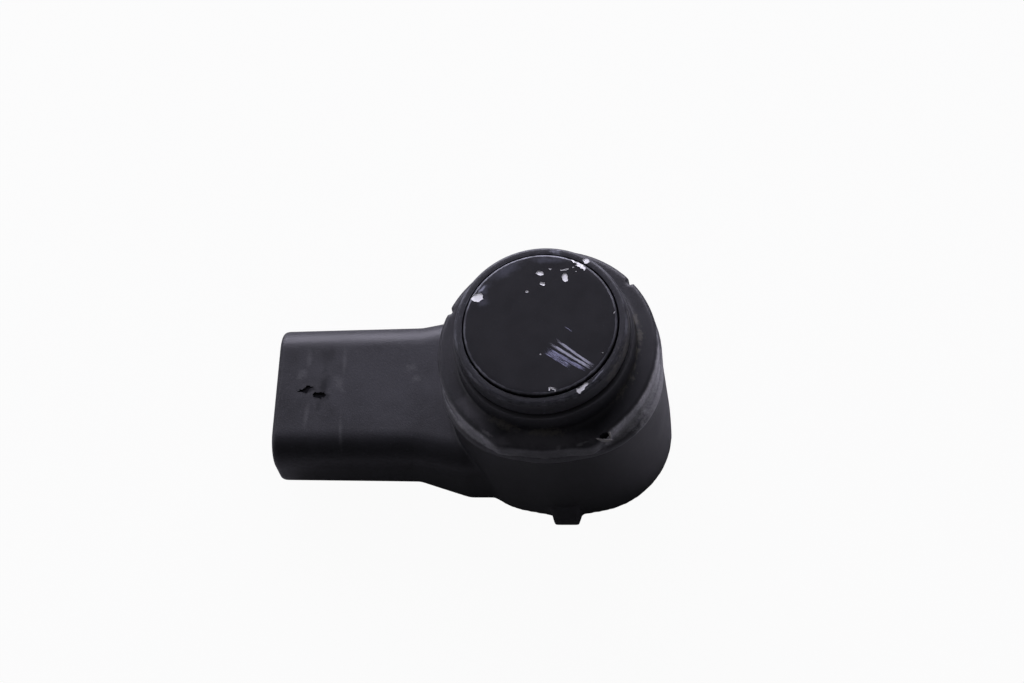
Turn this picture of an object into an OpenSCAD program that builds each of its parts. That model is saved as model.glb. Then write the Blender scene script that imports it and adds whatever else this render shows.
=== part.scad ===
// Ultrasonic parking sensor with a right-angle plug inlet, in millimetres.
// Z is the sensing axis and z = 0 is the flange shoulder that seats behind the bumper skin.
// The plug inlet opens toward -X, and the two snap lugs stand on the -Y and +Y flats.

/* [Head] */
// Diameter of the painted sensing face
face_d = 15.5; // [14.5:0.1:16.5]
// Height of the sensing face above the shoulder
face_h = 5.7; // [5.2:0.1:7]
// Height of the head tube above the shoulder
head_h = 3.1; // [2.4:0.1:3.8]
// Wall of the head tube
head_wall = 0.75; // [0.6:0.05:1.1]
// Thickness of the silicone sleeve between cup and head tube
sleeve_t = 0.6; // [0.5:0.05:0.8]
// How far the face stands proud of the silicone ring
face_proud = 0.3; // [0.1:0.05:0.5]

/* [Flange and body] */
// Diameter of the flange
flange_d = 22.5; // [21.5:0.1:24]
// Thickness of the flange
flange_t = 2; // [1.5:0.1:2.6]
// Distance from the sensing axis to the body's +X side, just below the flange
body_reach = 11.5; // [11.2:0.1:13]
// Radius of the body's two front corners
corner_r = 8.9; // [7:0.1:9.2]
// Depth of the body behind the shoulder
body_h = 18; // [17:0.5:22]
// Moulding draft of the body's sides, in degrees
body_draft = 1.2; // [0.4:0.1:1.6]
// Wall round the board space
body_wall = 1.3; // [1.1:0.1:1.6]

/* [Plug inlet] */
// Distance from the sensing axis to the inlet's rim
inlet_reach = 30; // [28:0.5:36]
// Width of the inlet at its rim
inlet_w = 15.5; // [14.6:0.1:16.2]
// Thickness of the inlet at its rim
inlet_t = 8.5; // [8.2:0.1:10]
// Corner radius of the inlet
inlet_r = 2.9; // [2.4:0.1:3.6]
// Wall of the inlet
inlet_wall = 1.35; // [1:0.05:1.6]
// Depth of the socket
socket_depth = 14; // [12:0.5:14.5]
// Moulding draft of the inlet's sides, in degrees
inlet_draft = 0.8; // [0.2:0.1:1.2]

/* [Terminals] */
// Width and thickness of a terminal blade
blade = 0.8; // [0.6:0.05:1]
// Distance between neighbouring blades
pitch = 3.4; // [3:0.1:3.8]
// Length of blade standing in the socket
blade_free = 8; // [6:0.5:8.5]

/* [Electronics] */
// Thickness of the circuit board
board_t = 1.2; // [0.8:0.1:1.6]
// Diameter of the piezo ceramic disc
piezo_d = 7; // [5:0.5:9]
// Diameter of the transformer's ferrite drum
drum_d = 5.2; // [4:0.2:5.6]
// Height of the transformer's ferrite drum
drum_h = 3.4; // [2.6:0.2:3.8]

/* [Fits] */
// Gap between pieces that are pressed or bonded together
seat_gap = 0.02; // [0.01:0.01:0.05]
// Gap between pieces that drop into place
drop_gap = 0.05; // [0.03:0.01:0.1]

/* [Hidden] */
$fn = 96;
eps = 0.05;

face_r = face_d / 2;
cup_wall = 0.95;
cup_face_t = 0.7;
cup_base_z = -1.5;
cup_lip_h = 0.6;
cup_lip_w = 0.3;
cup_in_r = face_r - cup_wall;
cup_round = 0.28;
sleeve_r = face_r + seat_gap + sleeve_t;
bore_r = sleeve_r + seat_gap;
head_r = bore_r + head_wall;
head_round = 0.2;
ring_step = 0.4;
ring_r = head_r - ring_step;
ring_top = face_h - face_proud;
ring_round = 0.4;
ring_foot_round = 0.15;
ring_slit = 0.12;
ring_slit_depth = 0.45;
sleeve_foot = 0.4;
sleeve_base_z = cup_base_z - sleeve_foot;

flange_r = flange_d / 2;
flange_round = 0.35;
flange_under_round = 0.25;
notch_w = 0.6;
notch_depth = 0.45;
notch_angles = [43, 157];
body_shift = 0.25;
ledge_round = 0.3;
collar_h = 0.9;
collar_out = 0.16;
flat_inset = 0.6;
flat_y = body_reach - flat_inset;
back_inset = 0.4;
back_r = body_reach - back_inset;
back_x = back_inset / 2;
back_y = flat_y - back_r;
pad_r = 1.5;
pad_x = 4.2;
pad_out = 0.1;
pad_y = flat_y + pad_out - pad_r;
draft_in = (body_h - flange_t) * tan(body_draft);
rear_reach = body_reach - draft_in;
flat_rear_y = flat_y - draft_in;
back_rear_y = back_y + back_r - draft_in;

cover_t = 1.2;
cover_ledge = 0.6;
room_r = rear_reach - body_shift - body_wall;
rebate_r = room_r + cover_ledge;
seat_w = 1;
roof_t = 1.2;
roof_z = -(flange_t + roof_t);
board_drop = 1.8;
board_z = roof_z - board_drop;
board_back_z = board_z - board_t;
board_gap = 0.2;
board_r = room_r - board_gap;
retainer_lip = 0.4;
retainer_in_r = cup_in_r - retainer_lip;

inlet_grow = tan(inlet_draft);
rim_round = 0.45;
inlet_root = 8;
inlet_mid_z = inlet_t / 2 - body_h;
socket_w = inlet_w - 2 * inlet_wall;
socket_t = inlet_t - 2 * inlet_wall;
socket_r = inlet_r - inlet_wall;
socket_floor_x = socket_depth - inlet_reach;
latch_w = 5;
latch_len = 2.4;
latch_inset = 3.2;
key_w = 0.7;
key_h = 0.5;
key_y = 3.4;

neck_end_x = -15;
neck_flat_x = -9.8;
neck_y = 9;
neck_low_r = 0.5;

lug_x = 0.55;
lug_base_w = 3.2;
lug_tip_w = 2.6;
lug_out = 1.45;
lug_len = 3.6;
lug_tip_len = 1.4;

socket_floor_t = 3;
bay_x = socket_floor_x + socket_floor_t;
bay_side = 2.1;
bay_y = pitch + bay_side;
bay_t = 5.2;
leg_hole_r = blade * 0.78;
leg_edge = 0.35;
leg_x = body_shift - sqrt(pow(board_r, 2) - pow(pitch, 2)) + leg_hole_r + leg_edge;
leg_sink = 0.2;
leg_top_z = board_z - leg_sink;
blade_point = 0.8;
blade_tip_x = socket_floor_x - blade_free;
blade_ys = [-pitch, 0, pitch];
carrier_gap = 0.15;
carrier_x = body_shift - room_r - carrier_gap;

piezo_t = 0.4;
piezo_z = face_h - cup_face_t - seat_gap;
lead_r = 0.2;
lead_x = 1.6;
lead_hole_r = 0.32;
lead_end = 0.4;
foam_z = piezo_z - piezo_t - seat_gap;

plan_r = 9.2;
board_k = board_r / plan_r;
chip_pos = [5, 0] * board_k;
chip_size = [5, 5, 1.4];
drum_pos = [-1.8, 3.5] * board_k;
drum_base_w = drum_d + 0.4;
drum_base = [drum_base_w, drum_base_w, 0.7];
post_r = drum_d / 4;
drum_flange_t = 0.6;
supply_cap_pos = [3.7, 5.4] * board_k;
supply_cap_size = [3.5, 2.8, 1.9];
tuning_cap_pos = [-0.6, -2.4] * board_k;
tuning_cap_size = [2, 1.25, 1];
resistor_size = [1.6, 0.8, 0.45];
resistor_xs = [-3.6, -1.2, 1.2, 3.6];
resistor_y = -6;
pot_gap = 0.2;
pot_top_z = board_back_z - drum_base[2] - drum_h - 2 * drop_gap - pot_gap;
pot_base_z = cover_t - body_h + drop_gap;

housing_black = [0.10, 0.10, 0.115];
face_black = [0.09, 0.09, 0.105];
silicone_grey = [0.13, 0.13, 0.145];
tinned = [0.72, 0.71, 0.68];

// Points of an arc about (cx, cy) from angle a0 to a1
function arc(cx, cy, r, a0, a1, n = 6) =
    [for (i = [0:n]) let (a = a0 + (a1 - a0) * i / n) [cx + r * cos(a), cy + r * sin(a)]];

module turned(points) {
    rotate_extrude()
        polygon(points);
}

// Round plug centred on the body, from z0 up to z1
module in_body(r, z0, z1) {
    translate([body_shift, 0, z0])
        cylinder(r = r, h = z1 - z0);
}

// Rectangle with round corners, drawn about the origin
module round_rect(w, t, r) {
    square([w - 2 * r, t], center = true);
    square([w, t - 2 * r], center = true);
    for (sx = [-1, 1], sy = [-1, 1])
        translate([sx * (w / 2 - r), sy * (t / 2 - r)])
            circle(r = r);
}

// Runs a Y-Z outline along X from x0 to x1
module along_x(x0, x1) {
    translate([x0, 0, 0])
        rotate([90, 0, 90])
            linear_extrude(x1 - x0)
                children();
}

// Block on the rear side of the board, at a place on it
module on_board(pos, size) {
    translate([pos[0] - size[0] / 2, pos[1] - size[1] / 2, board_back_z - drop_gap - size[2]])
        cube(size);
}

// Thin slice across X that rests on the rear plane, with its own front and rear corner radii
module slice_x(x, half_w, tall, front_r, rear_r, inset = 0) {
    for (s = [-1, 1]) {
        translate([x, s * (half_w - front_r), tall - front_r - body_h])
            rotate([0, 90, 0])
                cylinder(r = front_r - inset, h = 0.01, $fn = 32);
        translate([x, s * (half_w - rear_r), rear_r - body_h])
            rotate([0, 90, 0])
                cylinder(r = rear_r - inset, h = 0.01, $fn = 32);
    }
}

// Slice of the drafted inlet
module inlet_slice(x, inset = 0) {
    grow = (inlet_reach + x) * inlet_grow;
    slice_x(x, inlet_w / 2 + grow, inlet_t + grow, inlet_r, inlet_r, inset);
}

// Tapered shell of the plug inlet, with its rim edge broken
module inlet_shell() {
    hull() {
        inlet_slice(-inlet_reach, rim_round);
        inlet_slice(-inlet_reach + rim_round * 0.3, rim_round * 0.3);
        inlet_slice(-inlet_reach + rim_round);
        inlet_slice(-inlet_root);
    }
}

// Stepped neck that widens from the inlet's round corners to a square rear edge at the body
module neck() {
    tall = inlet_t + (inlet_reach + neck_flat_x) * inlet_grow;
    hull() {
        inlet_slice(neck_end_x);
        slice_x(neck_flat_x, neck_y, tall, inlet_r, neck_low_r);
        slice_x(-inlet_root / 2, neck_y, tall, inlet_r, neck_low_r);
    }
}

// Head tube and flange, turned about the sensing axis
module head_and_flange() {
    root_r = min(flat_y, flange_r) - 0.5;
    turned(concat(
        [[0, roof_z], [root_r, roof_z], [root_r, -flange_t]],
        arc(flange_r - flange_under_round, flange_under_round - flange_t, flange_under_round, -90, 0, 3),
        arc(flange_r - flange_round, -flange_round, flange_round, 0, 90, 4),
        [[head_r, 0]],
        arc(head_r - head_round, head_h - head_round, head_round, 0, 90, 3),
        [[0, head_h]]));
}

// Thin slice of the flange that reaches out to its two front corners
module flange_slice(z, inset) {
    translate([0, 0, z])
        cylinder(r = flange_r - eps - inset, h = 0.01);
    for (s = [-1, 1])
        translate([body_shift + s * pad_x, -pad_y, z])
            cylinder(r = pad_r - inset, h = 0.01, $fn = 48);
}

// Corners that square off the front of the round flange
module flange_corners() {
    hull() {
        flange_slice(-flange_t, flange_under_round);
        flange_slice(flange_under_round - flange_t, 0);
        flange_slice(-flange_round, 0);
        flange_slice(-0.01, flange_round);
    }
}

// Thin slice of the body's outline: a flat front with two round corners and a round back
module body_slice(z, inset) {
    corner_x = body_reach - body_shift - corner_r;
    for (s = [-1, 1])
        translate([body_shift + s * corner_x, corner_r - flat_y, z])
            cylinder(r = corner_r - inset, h = 0.01, $fn = 64);
    translate([back_x, back_y, z])
        cylinder(r = back_r - inset, h = 0.01, $fn = 64);
}

// Drafted body
module body() {
    hull() {
        body_slice(-body_h, draft_in);
        body_slice(-flange_t - ledge_round, 0);
    }
}

// Collar under the flange, a little proud of the body, with a softened upper edge
module collar() {
    hull() {
        body_slice(-flange_t - collar_h, -collar_out);
        body_slice(-flange_t - ledge_round, -collar_out);
        body_slice(-flange_t - 0.01, ledge_round - collar_out);
    }
}

// Ramped snap lug, drawn for the flat that faces -Y
module snap_lug(face_y) {
    translate([lug_x, -face_y, -body_h])
        intersection() {
            linear_extrude(lug_len)
                polygon([
                    [-lug_base_w / 2, 1], [lug_base_w / 2, 1], [lug_base_w / 2, 0],
                    [lug_tip_w / 2, -lug_out], [-lug_tip_w / 2, -lug_out], [-lug_base_w / 2, 0]
                ]);
            along_x(-lug_base_w, lug_base_w)
                polygon([[1, 0], [-lug_out, 0], [-lug_out, lug_tip_len], [0, lug_len], [1, lug_len]]);
        }
}

// Space for the mating plug, with its latch window and the slots for the blades
module socket_space() {
    along_x(-inlet_reach - 1, socket_floor_x)
        translate([0, inlet_mid_z])
            round_rect(socket_w, socket_t, socket_r);
    translate([latch_inset - inlet_reach, -latch_w / 2, -body_h - 1])
        cube([latch_len, latch_w, 1 + inlet_wall + eps]);
    for (y = blade_ys)
        translate([socket_floor_x - 1, y - blade / 2 - seat_gap, inlet_mid_z - blade / 2 - seat_gap])
            cube([bay_x - socket_floor_x + 2, blade + 2 * seat_gap, blade + 2 * seat_gap]);
}

// Coding ribs on the socket's front wall
module coding_ribs() {
    for (s = [-1, 1])
        translate([1 - inlet_reach, s * key_y - key_w / 2, inlet_mid_z + socket_t / 2 - key_h])
            cube([socket_depth - 1 + eps, key_w, key_h + eps]);
}

// Space for the transducer, the board, the potting and the cover
module inner_space() {
    translate([0, 0, roof_z - eps])
        cylinder(r = bore_r, h = head_h - roof_z + 1);
    in_body(room_r - seat_w, board_z - eps, roof_z);
    in_body(room_r, -body_h - 1, board_z);
    in_body(rebate_r, -body_h - 1, cover_t - body_h);
    translate([bay_x, -bay_y, inlet_mid_z - bay_t / 2])
        cube([leg_x - bay_x, 2 * bay_y, bay_t]);
}

module flange_notches() {
    for (a = notch_angles)
        rotate(a)
            translate([flange_r - notch_depth, -notch_w / 2, -flange_t])
                cube([1, notch_w, flange_t + 1]);
}

// One-piece moulding: head tube, flange, body, neck, inlet and snap lugs
module housing() {
    color(housing_black) {
        difference() {
            union() {
                head_and_flange();
                flange_corners();
                body();
                collar();
                neck();
                inlet_shell();
                snap_lug(flat_rear_y);
                mirror([0, 1, 0])
                    snap_lug(back_rear_y);
            }
            inner_space();
            socket_space();
            flange_notches();
        }
        coding_ribs();
    }
}

// Deep-drawn aluminium cup whose closed, painted end is the sensing face
module membrane_cup() {
    color(face_black)
        turned(concat(
            [[0, face_h - cup_face_t], [cup_in_r, face_h - cup_face_t], [cup_in_r, cup_base_z]],
            [[face_r + cup_lip_w, cup_base_z], [face_r + cup_lip_w, cup_base_z + cup_lip_h]],
            [[face_r, cup_base_z + cup_lip_h]],
            arc(face_r - cup_round, face_h - cup_round, cup_round, 0, 90, 5),
            [[0, face_h]]));
}

// Silicone ring that carries the cup and shows as the band round the face
module decoupling_ring() {
    in_r = face_r + seat_gap;
    lip_r = face_r + cup_lip_w + seat_gap;
    color(silicone_grey)
        turned(concat(
            [[cup_in_r, sleeve_base_z], [sleeve_r, sleeve_base_z], [sleeve_r, head_h + seat_gap]],
            arc(ring_r - ring_foot_round, head_h + seat_gap + ring_foot_round, ring_foot_round, -90, 0, 3),
            arc(ring_r - ring_round, ring_top - ring_round, ring_round, 0, 90, 5),
            [[in_r + ring_slit, ring_top], [in_r, ring_top - ring_slit_depth]],
            [[in_r, cup_base_z + cup_lip_h + seat_gap], [lip_r, cup_base_z + cup_lip_h + seat_gap]],
            [[lip_r, cup_base_z - seat_gap], [cup_in_r, cup_base_z - seat_gap]]));
}

// Plastic ring pressed in behind the silicone ring
module retaining_ring() {
    tall = sleeve_base_z - seat_gap - roof_z;
    color([0.2, 0.2, 0.2])
        translate([0, 0, roof_z])
            difference() {
                cylinder(r = bore_r - seat_gap, h = tall);
                translate([0, 0, -eps])
                    cylinder(r = retainer_in_r, h = tall + 2 * eps);
            }
}

// Ceramic disc bonded behind the sensing face
module piezo_disc() {
    color([0.86, 0.82, 0.72])
        translate([0, 0, piezo_z - piezo_t])
            cylinder(d = piezo_d, h = piezo_t);
}

// Foam plug that damps the cup and seals the ceramic in
module damping_foam() {
    tall = foam_z - cup_base_z;
    color([0.9, 0.9, 0.88])
        difference() {
            translate([0, 0, cup_base_z])
                cylinder(r = cup_in_r - drop_gap, h = tall);
            for (x = [-lead_x, lead_x])
                translate([x, 0, cup_base_z - eps])
                    cylinder(r = lead_r + drop_gap, h = tall + 2 * eps);
        }
}

// Wire from the ceramic down through the foam into the board
module lead(x) {
    translate([x, 0, board_back_z - lead_end])
        cylinder(r = lead_r, h = foam_z - board_back_z + lead_end);
}

module lead_signal() {
    color([0.75, 0.2, 0.15])
        lead(lead_x);
}

module lead_ground() {
    color([0.15, 0.15, 0.16])
        lead(-lead_x);
}

// Glass-fibre board seated against the step in the housing
module circuit_board() {
    color([0.1, 0.32, 0.18])
        difference() {
            in_body(board_r, board_back_z, board_z - seat_gap);
            for (x = [-lead_x, lead_x])
                translate([x, 0, board_back_z - eps])
                    cylinder(r = lead_hole_r, h = board_t + 2 * eps);
            for (y = blade_ys)
                translate([leg_x, y, board_back_z - eps])
                    cylinder(r = leg_hole_r, h = board_t + 2 * eps);
        }
}

module control_chip() {
    color([0.08, 0.08, 0.08])
        on_board(chip_pos, chip_size);
}

module transformer_base() {
    color([0.15, 0.15, 0.15])
        on_board(drum_pos, drum_base);
}

// Ferrite drum with two flanges and a waist for the winding
module transformer_drum() {
    color([0.22, 0.21, 0.21])
        translate([drum_pos[0], drum_pos[1], board_back_z - 2 * drop_gap - drum_base[2] - drum_h]) {
            cylinder(d = drum_d, h = drum_flange_t);
            cylinder(r = post_r, h = drum_h);
            translate([0, 0, drum_h - drum_flange_t])
                cylinder(d = drum_d, h = drum_flange_t);
        }
}

// Copper wound on the drum's waist
module transformer_winding() {
    z0 = board_back_z - 2 * drop_gap - drum_base[2] - drum_h + drum_flange_t + drop_gap;
    tall = drum_h - 2 * drum_flange_t - 2 * drop_gap;
    color([0.72, 0.4, 0.18])
        translate([drum_pos[0], drum_pos[1], z0])
            difference() {
                cylinder(d = drum_d - 0.5, h = tall);
                translate([0, 0, -eps])
                    cylinder(r = post_r + seat_gap, h = tall + 2 * eps);
            }
}

module supply_capacitor() {
    color([0.8, 0.6, 0.2])
        on_board(supply_cap_pos, supply_cap_size);
}

module tuning_capacitor() {
    color([0.62, 0.5, 0.38])
        on_board(tuning_cap_pos, tuning_cap_size);
}

module resistors() {
    color([0.1, 0.1, 0.1])
        for (x = resistor_xs)
            on_board([x, resistor_y] * board_k, resistor_size);
}

// Right-angle blade from the socket through the floor and carrier up to the board
module terminal(y, grow = 0) {
    h = blade / 2 + grow;
    translate([0, y + h, inlet_mid_z])
        rotate([90, 0, 0])
            linear_extrude(2 * h)
                polygon([
                    [blade_tip_x - grow, -h / 2], [blade_tip_x + blade_point, -h], [leg_x + h, -h],
                    [leg_x + h, leg_top_z - inlet_mid_z + grow], [leg_x - h, leg_top_z - inlet_mid_z + grow],
                    [leg_x - h, h], [blade_tip_x + blade_point, h], [blade_tip_x - grow, h / 2]
                ]);
}

module terminal_left() {
    color(tinned)
        terminal(blade_ys[0]);
}

module terminal_middle() {
    color(tinned)
        terminal(blade_ys[1]);
}

module terminal_right() {
    color(tinned)
        terminal(blade_ys[2]);
}

// Plastic block in the neck that keeps the three blades apart
module terminal_carrier() {
    color([0.17, 0.17, 0.18])
        difference() {
            translate([bay_x + drop_gap, drop_gap - bay_y, inlet_mid_z - bay_t / 2 + drop_gap])
                cube([carrier_x - bay_x - drop_gap, 2 * (bay_y - drop_gap), bay_t - 2 * drop_gap]);
            for (y = blade_ys)
                terminal(y, seat_gap);
        }
}

// Cast resin behind the board that fills the body up to the cover
module potting() {
    color([0.06, 0.06, 0.06])
        difference() {
            in_body(room_r - drop_gap, pot_base_z, pot_top_z);
            for (y = blade_ys)
                terminal(y, seat_gap);
        }
}

// Flat cover welded into the rear rebate
module rear_cover() {
    color([0.11, 0.11, 0.12])
        in_body(rebate_r - drop_gap, -body_h, cover_t - body_h - seat_gap);
}

housing();
membrane_cup();
decoupling_ring();
retaining_ring();
piezo_disc();
damping_foam();
lead_signal();
lead_ground();
circuit_board();
control_chip();
transformer_base();
transformer_drum();
transformer_winding();
supply_capacitor();
tuning_capacitor();
resistors();
terminal_left();
terminal_middle();
terminal_right();
terminal_carrier();
potting();
rear_cover();
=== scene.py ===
import math

import bmesh
import bpy
import numpy as np
from mathutils import Matrix, Vector, noise


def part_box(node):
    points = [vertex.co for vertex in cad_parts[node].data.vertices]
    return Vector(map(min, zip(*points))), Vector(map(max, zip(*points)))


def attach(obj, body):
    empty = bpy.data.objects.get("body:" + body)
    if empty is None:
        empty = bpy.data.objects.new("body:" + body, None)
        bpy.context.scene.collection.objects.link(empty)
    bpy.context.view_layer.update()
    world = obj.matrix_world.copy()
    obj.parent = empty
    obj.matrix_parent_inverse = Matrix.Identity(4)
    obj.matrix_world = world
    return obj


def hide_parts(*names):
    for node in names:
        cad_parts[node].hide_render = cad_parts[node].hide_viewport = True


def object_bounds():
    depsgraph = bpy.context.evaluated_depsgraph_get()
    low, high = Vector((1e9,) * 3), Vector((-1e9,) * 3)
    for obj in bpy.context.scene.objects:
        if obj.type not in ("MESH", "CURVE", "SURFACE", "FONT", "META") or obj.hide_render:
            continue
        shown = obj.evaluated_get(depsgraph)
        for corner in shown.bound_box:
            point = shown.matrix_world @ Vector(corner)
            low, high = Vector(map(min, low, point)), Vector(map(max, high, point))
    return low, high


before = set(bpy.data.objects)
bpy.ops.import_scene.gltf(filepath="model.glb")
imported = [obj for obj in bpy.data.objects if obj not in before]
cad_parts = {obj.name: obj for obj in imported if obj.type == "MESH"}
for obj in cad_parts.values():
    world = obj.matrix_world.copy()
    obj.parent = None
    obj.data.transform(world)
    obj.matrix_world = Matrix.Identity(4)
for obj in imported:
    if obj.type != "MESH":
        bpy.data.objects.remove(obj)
cad_low, cad_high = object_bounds()

# Studio: a white table under one big soft light behind the sensor and weaker ones at its sides.
# The camera stands almost above the sensing face, turned a little, with a long lens.
mm = 0.001


def box_mm(node):
    return [[round(value / mm, 2) for value in point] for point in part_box(node)]


cup_low, cup_high = box_mm("membrane_cup")
face_top = cup_high[2]
eye_az, eye_el, eye_roll = (math.radians(angle) for angle in (18.601, 63.224, -17.138))
eye_dist = 300 * mm
aim_right, aim_up = -2.767 * mm, -1.754 * mm
back = Vector((math.sin(eye_az) * math.cos(eye_el), -math.cos(eye_az) * math.cos(eye_el), math.sin(eye_el)))
level = Vector((math.cos(eye_az), math.sin(eye_az), 0))
upright = back.cross(level)
right = math.cos(eye_roll) * level + math.sin(eye_roll) * upright
up = -math.sin(eye_roll) * level + math.cos(eye_roll) * upright
lens = bpy.data.cameras.new("lens")
lens.sensor_fit = "HORIZONTAL"
lens.sensor_width = 36
lens.lens = 106.32
lens.clip_start, lens.clip_end = 0.02, 20
camera = bpy.data.objects.new("camera", lens)
stand = Matrix((right, up, back)).transposed().to_4x4()
stand.translation = Vector((0, 0, face_top * mm)) + aim_right * right + aim_up * up + eye_dist * back
camera.matrix_world = stand
bpy.context.scene.collection.objects.link(camera)
bpy.context.scene.camera = camera
bpy.context.scene.view_settings.view_transform = "Standard"


def soft_light(name, place, size, watts, tint):
    lamp = bpy.data.lights.new(name, "AREA")
    lamp.shape = "RECTANGLE"
    lamp.size, lamp.size_y = size
    lamp.energy = watts
    lamp.color = tint
    holder = bpy.data.objects.new(name, lamp)
    holder.location = place
    holder.rotation_euler = (-Vector(place)).to_track_quat("-Z", "Y").to_euler()
    bpy.context.scene.collection.objects.link(holder)


soft_light("key_behind", (-0.06, 0.60, 0.26), (0.90, 0.40), 8.8, (0.87, 0.84, 1.0))
soft_light("side_right", (0.60, 0.12, 0.16), (0.30, 0.30), 0.20, (0.95, 0.92, 1.0))
soft_light("side_left", (-0.55, 0.05, 0.22), (0.30, 0.30), 0.5, (0.92, 0.90, 1.0))
air = bpy.data.worlds.new("studio_air")
air.use_nodes = True
air.node_tree.nodes["Background"].inputs["Color"].default_value = (0.92, 0.90, 1.0, 1)
air.node_tree.nodes["Background"].inputs["Strength"].default_value = 0.08
bpy.context.scene.world = air


# Clearing a mesh's finishes also resets which finish each face has, so an empty list is left alone.
def link_piece(name, mesh, *finishes):
    piece = bpy.data.objects.new(name, mesh)
    if mesh.materials:
        mesh.materials.clear()
    for finish in finishes:
        mesh.materials.append(finish)
    bpy.context.scene.collection.objects.link(piece)
    return piece


def finish_tree(name):
    finish = bpy.data.materials.new(name)
    finish.use_nodes = True
    tree = finish.node_tree
    return finish, tree, tree.nodes["Principled BSDF"]


def wire(tree, kind, inputs=None, **settings):
    node = tree.nodes.new(kind)
    for key, value in settings.items():
        setattr(node, key, value)
    for key, value in (inputs or {}).items():
        if isinstance(value, bpy.types.NodeSocket):
            tree.links.new(value, node.inputs[key])
        else:
            node.inputs[key].default_value = value
    return node


def reckon(tree, operation, one, two=0.0, clamp=False):
    return wire(tree, "ShaderNodeMath", {0: one, 1: two}, operation=operation, use_clamp=clamp).outputs[0]


# The camera sees the table as nearly pure white, and the sensor still casts a faint shadow on it.
table_glow, table_half = 0.965, 3.0
white_table, tree, shader = finish_tree("white_table")
shader.inputs["Base Color"].default_value = (0.58, 0.58, 0.58, 1)
shader.inputs["Roughness"].default_value = 0.9
shader.inputs["Specular IOR Level"].default_value = 0.0
glow = wire(tree, "ShaderNodeEmission", {"Color": (0.99, 0.99, 0.99, 1), "Strength": 1.0})
seen = reckon(tree, "MULTIPLY", wire(tree, "ShaderNodeLightPath").outputs["Is Camera Ray"], table_glow)
blend = wire(tree, "ShaderNodeMixShader", {0: seen, 1: shader.outputs[0], 2: glow.outputs[0]})
tree.links.new(blend.outputs[0], tree.nodes["Material Output"].inputs["Surface"])
table_mesh = bpy.data.meshes.new("table")
table_corners = [(x * table_half, y * table_half, cad_low.z) for x, y in ((-1, -1), (1, -1), (1, 1), (-1, 1))]
table_mesh.from_pydata(table_corners, [], [(0, 1, 2, 3)])
table = link_piece("table", table_mesh, white_table)

# Housing: one black moulding of glass-filled nylon with head tube, flange, body, neck and inlet.
# It left the mould with small edge radii, a fine spark-eroded grain and, since then, scuffs and road dust.
# The solid is remeshed and eased so that its edges round off, and the knocks are cut into it.


def solid_copy(node, name):
    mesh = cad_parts[node].data.copy()
    mesh.name = name
    shape = bmesh.new()
    shape.from_mesh(mesh)
    bmesh.ops.remove_doubles(shape, verts=shape.verts, dist=0.002 * mm)
    shape.to_mesh(mesh)
    shape.free()
    return mesh


def mesh_from(shape, name):
    mesh = bpy.data.meshes.new(name)
    shape.to_mesh(mesh)
    shape.free()
    return mesh


def applied(piece):
    mesh = bpy.data.meshes.new_from_object(piece.evaluated_get(bpy.context.evaluated_depsgraph_get()))
    piece.modifiers.clear()
    old, piece.data = piece.data, mesh
    bpy.data.meshes.remove(old)
    mesh.name = piece.name


def shade_round(mesh):
    mesh.polygons.foreach_set("use_smooth", np.ones(len(mesh.polygons), bool))
    mesh.update()


def crisp(mesh, degrees=32):
    shade_round(mesh)
    mesh.set_sharp_from_angle(angle=math.radians(degrees))


# Shader group: fine mould grain and slow mottling that every plastic here shares.
def open_group(name, inputs, outputs, kind="ShaderNodeTree"):
    group = bpy.data.node_groups.new(name, kind)
    for label, socket_type, value in inputs:
        socket = group.interface.new_socket(label, in_out="INPUT", socket_type=socket_type)
        if value is not None:
            socket.default_value = value
    for label, socket_type in outputs:
        group.interface.new_socket(label, in_out="OUTPUT", socket_type=socket_type)
    return group, group.nodes.new("NodeGroupInput").outputs, group.nodes.new("NodeGroupOutput").inputs


def cloud(tree, place, scale, detail, roughness=0.5):
    inputs = {"Vector": place, "Scale": scale, "Detail": detail, "Roughness": roughness}
    return wire(tree, "ShaderNodeTexNoise", inputs).outputs["Fac"]


def between(tree, value, low, high, curve="LINEAR"):
    inputs = {"Value": value, "From Min": low, "From Max": high}
    return wire(tree, "ShaderNodeMapRange", inputs, interpolation_type=curve).outputs["Result"]


FLOAT, VECTOR = "NodeSocketFloat", "NodeSocketVector"
mould_grain, given, put = open_group(
    "mould_grain",
    [("Place", VECTOR, None), ("Grain per metre", FLOAT, 6000.0), ("Mottle per metre", FLOAT, 260.0)],
    [("Height", FLOAT), ("Mottle", FLOAT), ("Specks", FLOAT)])
mould_grain.links.new(cloud(mould_grain, given["Place"], given["Grain per metre"], 3.0, 0.6), put["Height"])
mould_grain.links.new(cloud(mould_grain, given["Place"], given["Mottle per metre"], 5.0, 0.62), put["Mottle"])
speck = cloud(mould_grain, given["Place"], given["Grain per metre"], 1.0)
mould_grain.links.new(between(mould_grain, speck, 0.66, 0.78), put["Specks"])


# Shader group: a soft or ragged patch of wear, dust, dirt, painted sheen or painted shadow at one place on a piece.
def times(tree, one, two):
    return reckon(tree, "MULTIPLY", one, two)


def local_place(tree, given):
    shift = wire(tree, "ShaderNodeVectorMath", {0: given["Place"], 1: given["Centre"]}, operation="SUBTRACT")
    turned = {"Vector": shift.outputs[0], "Angle": times(tree, given["Turn"], -1.0)}
    spun = wire(tree, "ShaderNodeVectorRotate", turned, rotation_type="Z_AXIS")
    return wire(tree, "ShaderNodeVectorMath", {0: spun.outputs[0], 1: given["Reach"]}, operation="DIVIDE").outputs[0]


def frayed(tree, given, swing, roughness):
    stray = reckon(tree, "SUBTRACT", cloud(tree, given["Place"], given["Ragged per metre"], 4.0, roughness), 0.5)
    return times(tree, times(tree, stray, given["Ragged"]), swing)


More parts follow.
